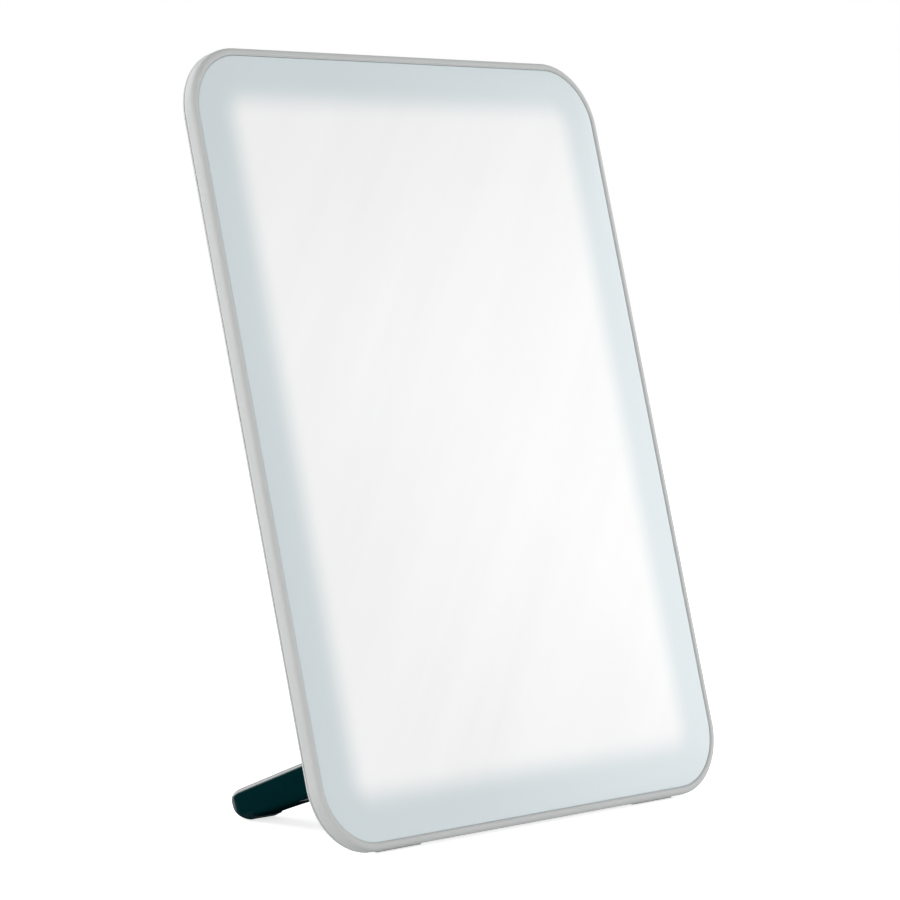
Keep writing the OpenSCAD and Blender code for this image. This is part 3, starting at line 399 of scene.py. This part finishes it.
COVER_GREY = (0.57, 0.58, 0.58)
cover_plastic = moulded("cover_grey_abs", COVER_GREY, 0.5, grain=0.6, bump=0.7)
dress(cover_plastic, "back_cover")
dress(screw_steel, "cover_screws")
dress(moulded("grey_rubber", (0.60, 0.61, 0.60), 0.75, grain=0.8, bump=0.9), "panel_pads")

# ---- Driver and inlet ----
# The screwed housing on the back, of the cover's plastic, and the board in it: a driver chip, choke,
# capacitors and connectors, the switch, and the black low-voltage inlet, whose nose comes through the
# housing's bottom wall.

dress(cover_plastic, "driver_cover")
dress(screw_steel, "driver_cover_screws", "board_screws")
dress(patterned("green_solder_mask", (0.03, 0.16, 0.07), (0.05, 0.24, 0.11), 0.35,
                "ShaderNodeTexMagic", 90.0, 0.45, 0.55), "driver_board")
dress(moulded("black_epoxy", (0.03, 0.03, 0.032), 0.45),
      "board_components", "tact_switch", "switch_plunger")
dress(moulded("inlet_black", (0.015, 0.015, 0.016), 0.22, bump=0.2), "dc_socket")
brass = metal("plated_brass", (0.78, 0.60, 0.30), 0.22)
dress(brass, "socket_pin")
dress(moulded("clear_lens", (0.62, 0.80, 0.68), 0.12, bump=0.1, coat=0.5), "indicator_lens")

# ---- Power button ----
# A cap of pale grey plastic in a satin metal ring, gently dished for a fingertip, on a stem over the
# board's switch. A flange keeps it in the housing, and it travels 0.8 mm. The power mark is printed.

BUTTON_UP = 206.0  # the button's middle above the panel's bottom edge
BUTTON_R = 7.0
BUTTON_TOP = 23.6  # the depth of its rim from the panel's face
BUTTON_ROUND = 0.7
DISH = 0.35
FLANGE = 1.3  # how far it stands out, and the depths of its two faces
FLANGE_OUTER = 20.1
FLANGE_INNER = 18.9
STEM_R = 2.4
STEM_END = 18.16
MARK_R = 2.15
MARK_LINE = 0.5
MARK_GAP = radians(38)  # half of the opening at the mark's top
BAR_FROM = 0.9
BAR_TO = 3.1
PRINT_PROUD = 0.02
BUTTON_GREY = (0.66, 0.67, 0.665)


def turned_shape(name, radius, depth, material, up, body, steps=72):
    """A profile of radii and depths turned about an axis square to the panel: at an angle a, a point
    lies at radius (cos a, sin a) from the axis."""
    a = np.linspace(0, tau, steps, endpoint=False)[:, None]
    points = on_panel(radius * np.cos(a), up + radius * np.sin(a), depth[None, :])
    return new_piece(name, points, grid_faces(steps, len(radius), close_rows=True), material, body)


def dished(radius):
    """Depth of the cap's face: a shallow bowl that rises to its rim as the radius squared."""
    return BUTTON_TOP - DISH * (1 - (radius / (BUTTON_R - BUTTON_ROUND)) ** 2)


bowl = np.linspace(0, BUTTON_R - BUTTON_ROUND, 10)
lip = np.linspace(0, pi / 2, 7)[1:]
cap_radius = np.concatenate([
    bowl, BUTTON_R - BUTTON_ROUND * (1 - np.sin(lip)),
    [BUTTON_R, BUTTON_R + FLANGE, BUTTON_R + FLANGE, STEM_R, STEM_R, 0]])
cap_depth = np.concatenate([
    dished(bowl), BUTTON_TOP - BUTTON_ROUND * (1 - np.cos(lip)),
    [FLANGE_OUTER, FLANGE_OUTER, FLANGE_INNER, FLANGE_INNER, STEM_END, STEM_END]])
button_plastic = moulded("button_grey_abs", BUTTON_GREY, 0.34, bump=0.3)
button_cap = turned_shape("button_cap", cap_radius, cap_depth, button_plastic, BUTTON_UP, "button")
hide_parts("power_button")

ink = moulded("printed_ink", (0.16, 0.18, 0.18), 0.5, bump=0.2)
mark_turn = pi / 2 + np.linspace(MARK_GAP, tau - MARK_GAP, 48)[:, None]
mark_radius = np.linspace(MARK_R, MARK_R + MARK_LINE, 3)
arc = mark_radius * np.cos(mark_turn), mark_radius * np.sin(mark_turn)
bar = np.meshgrid(np.linspace(-MARK_LINE / 2, MARK_LINE / 2, 3),
                  np.linspace(BAR_FROM, BAR_TO, 12), indexing="ij")
# both lie on the dish, a little proud of it
marks = [on_panel(x, BUTTON_UP + y, dished(np.hypot(x, y)) + PRINT_PROUD) for x, y in (arc, bar)]
arc_grid, bar_grid = (mark.shape[:2] for mark in marks)
power_mark = new_piece(
    "power_mark", np.concatenate([mark.reshape(-1, 3) for mark in marks]),
    np.concatenate([grid_faces(*arc_grid), grid_faces(*bar_grid) + arc_grid[0] * arc_grid[1]]),
    ink, "button")
dress(metal("satin_ring", (0.56, 0.57, 0.59), 0.24, scale=1500.0), "button_ring")

# ---- Hinge ----
# Two steel brackets sprayed the leg's colour, screwed to the bay's floor, with the steel pins that the
# leg turns on, and brass washers that hold it by friction. White acetal bushes line its barrel.

TEAL = (0.0010, 0.0165, 0.0190)
LACQUER_IOR = 1.7
LACQUER_ROUGH = 0.24


def lacquered(material):
    """Adds a thin lacquer to all but a material's underside. The weight of its coat rises from 0 to 1
    as the surface is seen more and more edge on, and with the surface's normal from -0.3 to 0 up."""
    shader = material.node_tree.nodes["Principled BSDF"]
    add, link = node_tools(material.node_tree, shader)
    facing = add("ShaderNodeLayerWeight", Blend=0.5).outputs["Facing"]
    edge_on = add("ShaderNodeMapRange", {"interpolation_type": "SMOOTHSTEP"}, Value=facing,
                  From_Min=0.33, From_Max=0.48).outputs[0]
    normal = add("ShaderNodeSeparateXYZ", Vector=add("ShaderNodeTexCoord").outputs["Normal"])
    upper = add("ShaderNodeMapRange", Value=normal.outputs[2], From_Min=-0.3, From_Max=0.0).outputs[0]
    link(maths(add, "MULTIPLY", edge_on, upper), "Coat Weight")
    shader.inputs["Coat Roughness"].default_value = LACQUER_ROUGH
    shader.inputs["Coat IOR"].default_value = LACQUER_IOR
    return material


leg_paint = lacquered(moulded("leg_teal", TEAL, 0.4, grain=0.7, bump=0.4, tone=0.1, specular=0.0))
dress(leg_paint, "hinge_bracket_left", "hinge_bracket_right")
dress(screw_steel, "bracket_screws", "hinge_pin_left", "hinge_pin_right")
dress(brass, "friction_washers")
dress(moulded("white_acetal", (0.86, 0.85, 0.81), 0.3), "leg_bushes")

# ---- Leg ----
# A moulded leg in satin dark teal: a barrel at the hinge, then a web that tapers to an arch between
# two round-ended feet. Its edges are rounded, and a screwed plate closes it below.

LEG_HALF = 66.5  # half of the leg's width
LEG_LEN = 64.8  # from the hinge to the middle of a foot's round end
BARREL_R = 7.2
NOSE_R = 5.9
FOOT_W = 15.0
FOOT_R = 4.0  # the rounding of a foot's corners, seen from above
ARCH_FROM = 40.0
ARCH_R = 8.0
EDGE_ROUND = 2.2
LOW_ROUND = 2.0
OUTER_SHARE = 0.15  # the share of a line that its outer rounding takes
SET_UP = 0.5  # the moulding's underside is this far above the taper's line
TIP_UP = 1.8  # the tip's height above the leg's middle line
TIP_LONG = 0.8
TIP_SWEEP = 9.0
SWEEP_POWER = 1.6
TREAD = 0.3  # the sole's tread is this much lower, over a run of TREAD_RUN
TREAD_RUN = 4.0
SOLE_LEN = 11.0
SOLE_T = 2.4
SOLE_FLAT = 0.3  # what the table takes off the sole's round
STEP_GAP = 0.01  # lines stand this near to each side of the sole's step, and the next this far on
STEP_NEXT = 2.0
BED_DEPTH = 0.5  # a shallow bed round the plate, so that its edge shows
BED_HALF = 65.2
BED_FROM = 10.0
BED_TO = 38.8
TINY = 1e-6  # keeps a division off zero, and allows for rounding
PLATE_TEAL = (0.0009, 0.0145, 0.0165)
FAR = LEG_LEN + NOSE_R + TIP_LONG
SOLE_FROM = LEG_LEN + NOSE_R - SOLE_LEN
hinge = np.array(next(j for j in frame["joints"] if j["name"] == "leg_fold")["pos_m"]) / MM
SLOPE = asin((hinge[2] - NOSE_R + SOLE_FLAT) / LEG_LEN)
TAPER = asin((BARREL_R - NOSE_R) / LEG_LEN)


def smooth(x):
    """0 below 0, 1 above 1, and three x squared minus two x cubed between them."""
    x = np.clip(x, 0, 1)
    return x * x * (3 - 2 * x)


def eased(steps):
    """1 - cos a for angles a from 0 to a right angle: close together at 0, as a rounding needs."""
    return 1 - np.cos(np.linspace(0, pi / 2, steps))


def on_leg(points):
    """Leg coordinates to the frame: across the leg, along it from the hinge down to the feet, and
    above its middle line, turned down by the slope about the hinge."""
    across, along, above = np.moveaxis(points, -1, 0)
    return np.stack([
        across,
        hinge[1] + along * cos(SLOPE) + above * sin(SLOPE),
        hinge[2] - along * sin(SLOPE) + above * cos(SLOPE)], axis=-1)


def half_height(along):
    """Half the leg's height before its tip: a circle round the hinge, and then the taper's straight
    line, (barrel - along sin t) / cos t for the taper's angle t."""
    barrel = np.sqrt(np.maximum(BARREL_R ** 2 - along ** 2, 0))
    straight = (BARREL_R - along * sin(TAPER)) / cos(TAPER)
    return np.where(along < BARREL_R * sin(TAPER), barrel, straight)


def top_height(along):
    """The leg's top: a quarter of an ellipse takes it down to the tip's height."""
    u = np.clip((along - LEG_LEN) / (FAR - LEG_LEN), 0, 1)
    return TIP_UP + (half_height(along) - TIP_UP) * np.sqrt(1 - u ** 2)


def low_height(along):
    """The leg's underside: for a power n, it sweeps up to the tip's height as (1 - v^n)^(1/n)."""
    v = np.clip((along - FAR + TIP_SWEEP) / TIP_SWEEP, 0, 1)
    deep = half_height(along) + TREAD * smooth((along - SOLE_FROM) / TREAD_RUN)
    return TIP_UP - (deep + TIP_UP) * (1 - v ** SWEEP_POWER) ** (1 / SWEEP_POWER)


def rounding(distance, radius):
    """How far a rounded edge has fallen at a distance from it, as a share of its radius."""
    return 1 - np.sqrt(1 - (1 - np.clip(distance / radius, 0, 1)) ** 2)


def foot_lines(along):
    """Lines across the right foot, from its outer to its inner side, shorter at its rounded corners."""
    past = np.clip(along - (FAR - FOOT_R), 0, FOOT_R)
    draw = FOOT_R - np.sqrt(FOOT_R ** 2 - past ** 2)
    return (np.stack([LEG_HALF - draw, along], axis=-1),
            np.stack([LEG_HALF - FOOT_W + draw, along], axis=-1))


def leg_lines():
    """Lines over the leg's right half, each from its outer to its inner end: across the foot, then
    fanned round the middle of the arch's corner, then along the web to the leg's middle."""
    foot_outer, foot_inner = foot_lines(np.concatenate([
        FAR - (FAR - SOLE_FROM - STEP_GAP) * eased(26),
        [SOLE_FROM - STEP_GAP],
        np.linspace(SOLE_FROM - STEP_NEXT, ARCH_FROM + ARCH_R, 6)]))
    fan = np.array([LEG_HALF - FOOT_W - ARCH_R, ARCH_FROM + ARCH_R])
    wide = LEG_HALF - fan[0]
    tall = fan[1] + BARREL_R
    angle = np.concatenate([
        np.linspace(0, atan2(fan[1], wide), 26)[1:-1],
        np.arctan2(fan[1] + BARREL_R * np.sin(np.linspace(0, pi / 2, 9)), wide),
        np.arctan2(tall, wide - EDGE_ROUND * eased(7)[1:]),
        np.linspace(atan2(tall, wide - EDGE_ROUND), pi / 2, 16)[1:]])
    ray = np.stack([np.cos(angle), -np.sin(angle)], axis=-1)
    reach = np.minimum(wide / np.maximum(ray[:, 0], TINY), tall / np.maximum(-ray[:, 1], TINY))
    web_x = np.linspace(fan[0], 0, 24)[1:]
    outer = [foot_outer, fan + ray * reach[:, None],
             np.stack([web_x, np.full(len(web_x), -BARREL_R)], axis=-1)]
    inner = [foot_inner, fan + ray * ARCH_R,
             np.stack([web_x, np.full(len(web_x), ARCH_FROM)], axis=-1)]
    return np.concatenate(outer), np.concatenate(inner)


def along_lines(outer, inner, middle_count):
    """Places on lines from outer to inner ends, close together where each edge is rounded, and how
    far each is from its line's inner end."""
    length = np.linalg.norm(inner - outer, axis=1)[:, None]
    last = 1 - EDGE_ROUND / length
    middle = OUTER_SHARE + (last - OUTER_SHARE) * np.linspace(0, 1, middle_count)[None, 1:-1]
    share = np.concatenate([np.tile(OUTER_SHARE * eased(10), (len(outer), 1)), middle,
                            1 - (1 - last) * eased(10)[None, ::-1]], axis=1)
    places = outer[:, None] + share[..., None] * (inner - outer)[:, None]
    return places[..., 0], places[..., 1], (1 - share) * length


def low_surface(along, from_outer, from_inner):
    """The underside's height before the sole is taken off it, with its edges rounded."""
    half = (top_height(along) - low_height(along)) / 2
    fall = rounding(from_outer, LOW_ROUND) + rounding(from_inner, LOW_ROUND)
    return low_height(along) + np.minimum(LOW_ROUND, half) * fall


def sole_joint(along):
    """The plane where the sole meets the foot, a sole's thickness above the tapered underside."""
    return (SOLE_T - BARREL_R + along * sin(TAPER)) / cos(TAPER)


def closed_lines(across, along, top, low):
    """Each line over the top from its outer to its inner end, and back below."""
    over = np.stack([across, along, top], axis=-1)
    under = np.stack([across, along, low], axis=-1)
    return np.concatenate([over, under[:, ::-1]], axis=1)


def leg_half():
    """The leg's right half: top and underside fall at the edges as quarter circles, and the foot's
    underside stops at the joint with its sole."""
    outer, inner = leg_lines()
    across, along, from_inner = along_lines(outer, inner, 40)
    # on a line that ends on the barrel's back, only the leg's own side is rounded
    side_x = np.where(outer[:, 1] > -BARREL_R + TINY, outer[:, 0], LEG_HALF)[:, None]
    from_side = side_x - across
    room = np.minimum(EDGE_ROUND, (top_height(along) - low_height(along)) / 2)
    fall = rounding(from_side, EDGE_ROUND) + rounding(from_inner, EDGE_ROUND)
    bed = BED_DEPTH * smooth(BED_HALF - across) * smooth(along - BED_FROM) * smooth(BED_TO - along)
    low = low_surface(along, from_side, from_inner)
    web_low = low + SET_UP * smooth(along - BARREL_R) + bed
    low = np.where(along < SOLE_FROM, web_low, np.maximum(low, sole_joint(along)))
    return closed_lines(across, along, top_height(along) - room * fall, low)


def crisp_step(mesh):
    """Marks sharp the edges that lie wholly on the step that the sole sits against."""
    spots = np.empty(len(mesh.vertices) * 3)
    mesh.vertices.foreach_get("co", spots)
    off = spots.reshape(-1, 3)[:, 1:] / MM - hinge[1:]
    at_step = np.abs(off @ (cos(SLOPE), -sin(SLOPE)) - SOLE_FROM) < 2 * STEP_GAP
    ends = np.empty(len(mesh.edges) * 2, int)
    mesh.edges.foreach_get("vertices", ends)
    crisp = np.empty(len(mesh.edges), bool)
    mesh.edges.foreach_get("use_edge_sharp", crisp)
    crisp |= at_step[ends].reshape(-1, 2).all(axis=1)
    mesh.edges.foreach_set("use_edge_sharp", crisp)


half = leg_half()
whole = np.concatenate([half, half[-2::-1] * (-1, 1, 1)])  # the left half mirrors the right
leg_moulding = new_piece("leg_moulding", on_leg(whole),
                         grid_faces(*whole.shape[:2], close_columns=True), leg_paint, "leg")
crisp_step(leg_moulding.data)
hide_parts("leg_shell")
dress(moulded("plate_teal", PLATE_TEAL, 0.6, grain=0.9, bump=0.7, specular=0.1), "leg_plate")
dress(screw_steel, "leg_plate_screws")

# ---- Soles ----
# A dark teal rubber sole bonded under each foot's round end. Each is about 2.4 mm thick, rounded at
# its edges, and worn flat where it stands on the table.

SOLE_SHORT = 1.6  # it ends this far before the tip
SOLE_TUCK = 0.1  # past its edge it goes this far up into the foot, out of sight
SOLE_THIN = 0.01
SOLE_TEAL = (0.0012, 0.0135, 0.0155)


def sole_right():
    """The right sole: flat against its joint above, and the foot's own rounded underside below."""
    outer, inner = foot_lines(np.linspace(SOLE_FROM, FAR - SOLE_SHORT, 24))
    across, along, from_inner = along_lines(outer, inner, 8)
    joint = sole_joint(along)
    low = low_surface(along, outer[:, :1] - across, from_inner)
    low = low + SOLE_TUCK * (low > joint)
    return closed_lines(across, along, np.maximum(joint, low + SOLE_THIN), low)


sole = sole_right()
points = on_leg(np.stack([sole, sole * (-1, 1, 1)]))
points[..., 2] = np.maximum(points[..., 2], 0)
rows, columns = sole.shape[:2]
first_end = np.arange(columns)
one = [*grid_faces(rows, columns, close_columns=True), first_end, first_end + (rows - 1) * columns]
both = [*one, *(face + rows * columns for face in one)]
sole_rubber = moulded("teal_rubber", SOLE_TEAL, 0.7, grain=0.9, bump=0.9, specular=0.03)
leg_sole = new_piece("leg_sole", points, both, sole_rubber, "leg")
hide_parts("foot_sole")

# ---- Table, light and camera ----
# A plain pale table, a white surround, and large soft lamps, whose sizes and distances are in metres.
# The camera stands where the photograph's did: it was fitted to the panel's outline.

TABLE_HALF = 6.0  # metres
TABLE_PALE = (0.75, 0.75, 0.75)
TABLE_LIFT = 0.72
WORLD_LIGHT = 0.45  # the surround's strength as light, and as it is seen
WORLD_SEEN = 1.0


def seen_rays(add):
    """1 on camera, glossy and transmission rays, which show the background, and 0 on the others."""
    rays = add("ShaderNodeLightPath").outputs
    seen = maths(add, "MAXIMUM", rays["Is Camera Ray"], rays["Is Glossy Ray"])
    return maths(add, "MAXIMUM", seen, rays["Is Transmission Ray"])


def pale(name, colour, lift):
    """A plain surface that still takes a shadow, lifted towards white where it is seen."""
    material, shader, add, link = new_material(name)
    place = add("ShaderNodeTexCoord").outputs["Object"]
    mottle = add("ShaderNodeTexNoise", Vector=place, Scale=3.0, Detail=2.0)
    tone = add("ShaderNodeMapRange", Value=mottle.outputs["Fac"], To_Min=0.99, To_Max=1.01)
    link(scaled(add, colour, tone.outputs[0]), "Base Color")
    link(maths(add, "MULTIPLY", seen_rays(add), lift), "Emission Strength")
    shader.inputs["Emission Color"].default_value = (1, 1, 1, 1)
    shader.inputs["Roughness"].default_value = 0.9
    shader.inputs["Specular IOR Level"].default_value = 0.0
    return material


corners = TABLE_HALF * np.array([(-1, -1, 0), (1, -1, 0), (1, 1, 0), (-1, 1, 0)])
table_mesh = bpy.data.meshes.new("table")
table_mesh.from_pydata(corners.tolist(), [], [(0, 1, 2, 3)])
table_mesh.materials.append(pale("pale_table", TABLE_PALE, TABLE_LIFT))
table = bpy.data.objects.new("table", table_mesh)
bpy.context.scene.collection.objects.link(table)

world = bpy.data.worlds.new("studio")
bpy.context.scene.world = world
world.use_nodes = True
surround = world.node_tree.nodes["Background"]
add, link = node_tools(world.node_tree, surround)
strength = add("ShaderNodeMapRange", Value=seen_rays(add), To_Min=WORLD_LIGHT, To_Max=WORLD_SEEN)
link(strength.outputs[0], "Strength")
surround.inputs["Color"].default_value = (1, 1, 1, 1)


def facing(azimuth, elevation):
    """The turn of a lamp or a camera that stands off at an azimuth and an elevation and looks back.
    Azimuth 0 is in front of the panel, and 90 is to its right. Its own Z is (sin a cos e,
    -cos a cos e, sin e), its X is (cos a, sin a, 0), and its Y is square to both."""
    a, e = radians(azimuth), radians(elevation)
    back = np.array([sin(a) * cos(e), -cos(a) * cos(e), sin(e)])
    right = np.array([cos(a), sin(a), 0.0])
    return np.stack([right, np.cross(back, right), back], axis=1)


def stand(thing, place, turn):
    """Puts a lamp or a camera in the scene at a place in metres."""
    matrix = np.eye(4)
    matrix[:3, :3] = turn
    matrix[:3, 3] = place
    thing.matrix_world = Matrix(matrix.tolist())
    bpy.context.scene.collection.objects.link(thing)


def soft_lamp(name, azimuth, elevation, distance, size, power, aim_height=0.14):
    """A square soft box at a distance from a point over the origin, which it faces."""
    lamp = bpy.data.lights.new(name, "AREA")
    lamp.size = size
    lamp.energy = power
    box = bpy.data.objects.new(name, lamp)
    box.visible_camera = False
    turn = facing(azimuth, elevation)
    stand(box, np.array([0, 0, aim_height]) + distance * turn[:, 2], turn)


soft_lamp("side_box", -95, 3, distance=0.8, size=0.6, power=3.8, aim_height=0.03)
soft_lamp("front_box", 66, 6, distance=1.3, size=1.0, power=8.6, aim_height=0.1)
soft_lamp("fill_box", -6, 4, distance=2.0, size=1.4, power=15.5, aim_height=0.06)
soft_lamp("back_box", 192, 18, distance=1.6, size=1.2, power=14)

CAMERA_PLACE = np.array([-917.24, -868.524, 214.225]) * MM
CAMERA_AZIMUTH = -46.61
CAMERA_ELEVATION = 3.681
lens = bpy.data.cameras.new("camera")
lens.sensor_width = 36.0
lens.lens = 138.48
lens.clip_start = 0.05
lens.clip_end = 50.0
camera = bpy.data.objects.new("camera", lens)
stand(camera, CAMERA_PLACE, facing(CAMERA_AZIMUTH, CAMERA_ELEVATION))
bpy.context.scene.camera = camera
bpy.context.scene.view_settings.view_transform = "Standard"
